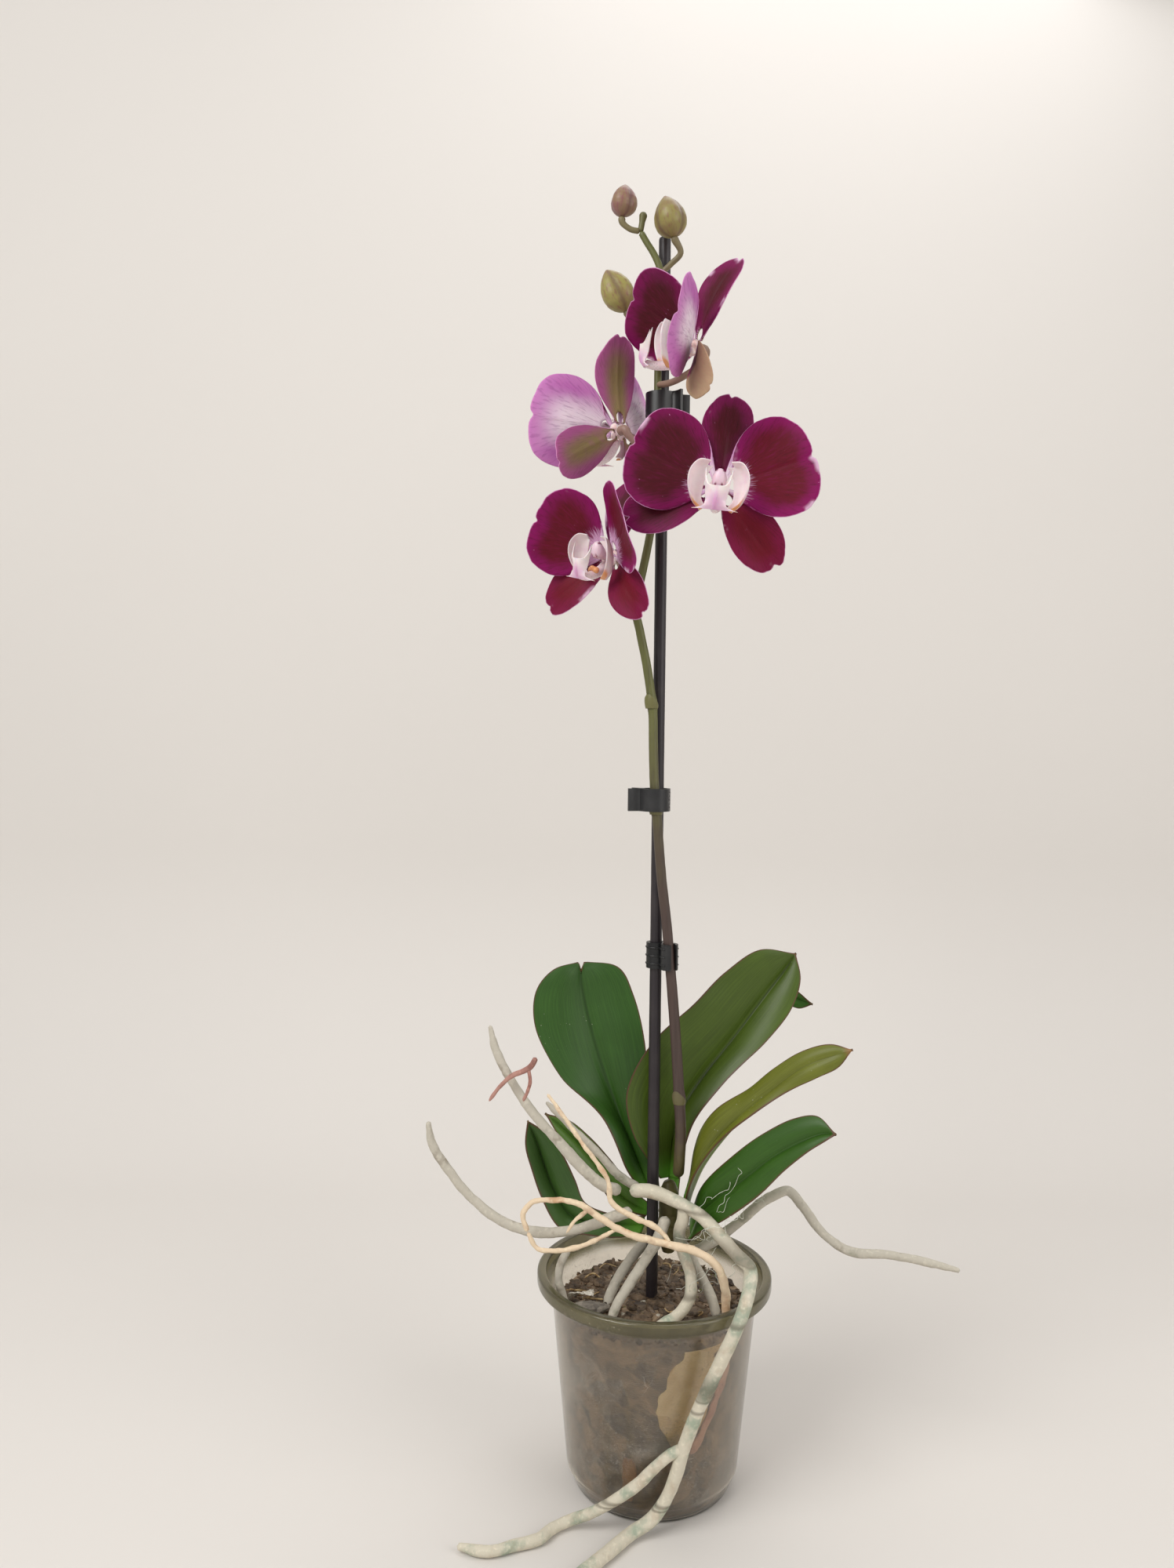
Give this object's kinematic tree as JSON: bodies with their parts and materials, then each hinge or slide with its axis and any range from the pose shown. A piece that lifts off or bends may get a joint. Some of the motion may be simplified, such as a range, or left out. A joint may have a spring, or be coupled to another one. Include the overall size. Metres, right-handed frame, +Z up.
{
  "type": "potted orchid",
  "caption": "Moth orchid in a smoky clear pot, with fleshy leaves, aerial roots and a flower spike clipped to a dark stake.",
  "frame": {"origin": "Centre of the pot's flat underside, on the surface the pot stands on.", "axes": "+Z up along the pot's axis and the stake; -Y is the plant's front, where the roots hang over the rim; +X is to the right of someone who faces the front."},
  "size_m": [0.2714, 0.1698, 0.6522],
  "materials": {
    "pot": "smoky see-through plastic, dusty outside and damp inside",
    "medium": "wet composted bark with moss and perlite",
    "chip": "weathered grey-brown bark",
    "fleece": "torn white non-woven fleece",
    "stake": "dark satin plastic",
    "clip": "black moulded plastic",
    "steel": "plain spring wire",
    "leaf": "waxy green leaf with a darker midrib and purple-brown margin",
    "stem": "green above, brown-purple towards the base",
    "root": "silver-grey dry velamen",
    "green_root": "damp pale green velamen",
    "dried_root": "dried tan root string",
    "twig": "withered pink-brown twig",
    "sepal": "dark maroon to magenta, pale back with olive veins",
    "petal": "dark maroon to magenta with a pale margin, lilac back",
    "lip": "white and pink with a yellow callus",
    "bud": "olive green blushed with pink-brown"
  },
  "bodies": {
    "plant": {"pot": "pot", "bark_medium": "medium", "support_stake": "stake", "crown": "stem", "flower_spike": "stem", "bark_chip_slab": "chip", "bark_chip_oval": "chip", "fleece_scrap": "fleece", "leaf_upper_left": "leaf", "leaf_upper_right": "leaf", "leaf_middle_right": "leaf", "leaf_lower_right": "leaf", "leaf_lower_left": "leaf", "leaf_small_left": "leaf", "leaf_rear_right": "leaf", "front_flower_sepal_dorsal": "sepal", "front_flower_sepal_left": "sepal", "front_flower_sepal_right": "sepal", "front_flower_petal_left": "petal", "front_flower_petal_right": "petal", "front_flower_lip": "lip", "lower_flower_sepal_dorsal": "sepal", "lower_flower_sepal_left": "sepal", "lower_flower_sepal_right": "sepal", "lower_flower_petal_left": "petal", "lower_flower_petal_right": "petal", "lower_flower_lip": "lip", "upper_flower_sepal_dorsal": "sepal", "upper_flower_sepal_left": "sepal", "upper_flower_sepal_right": "sepal", "upper_flower_petal_left": "petal", "upper_flower_petal_right": "petal", "upper_flower_lip": "lip", "rear_flower_sepal_dorsal": "sepal", "rear_flower_sepal_left": "sepal", "rear_flower_sepal_right": "sepal", "rear_flower_petal_left": "petal", "rear_flower_petal_right": "petal", "rear_flower_lip": "lip", "bud_terminal_left": "bud", "bud_terminal_right": "bud", "bud_left": "bud", "root_left_long": "root", "root_left_upper": "root", "root_left_rear": "root", "root_right_long": "root", "root_strut_left": "root", "root_strut_rear": "root", "root_strut_right": "root", "root_rim_left": "root", "root_front": "green_root", "root_dried": "dried_root", "withered_twig": "twig", "clip_lower": "clip", "clip_middle_rear_jaw": "clip", "clip_middle_spring": "steel", "clip_top_front_jaw": "clip", "clip_top_spring": "steel"},
    "clip_middle_jaw": {"clip_middle_front_jaw": "clip"},
    "clip_top_jaw": {"clip_top_rear_jaw": "clip"}
  },
  "joints": [
    {"name": "clip_middle_hinge", "type": "hinge", "parent": "plant", "child": "clip_middle_jaw", "pos_m": [-0.00962, -0.00214, 0.3497], "axis": [0, 0, -1], "range_deg": [0, 30], "stiffness_Nm_per_rad": 0.02, "springref_deg": -17.19},
    {"name": "clip_top_hinge", "type": "hinge", "parent": "plant", "child": "clip_top_jaw", "pos_m": [0.00474, -0.00688, 0.5457], "axis": [0, 0, -1], "range_deg": [0, 30], "stiffness_Nm_per_rad": 0.02, "springref_deg": -17.19}
  ]
}
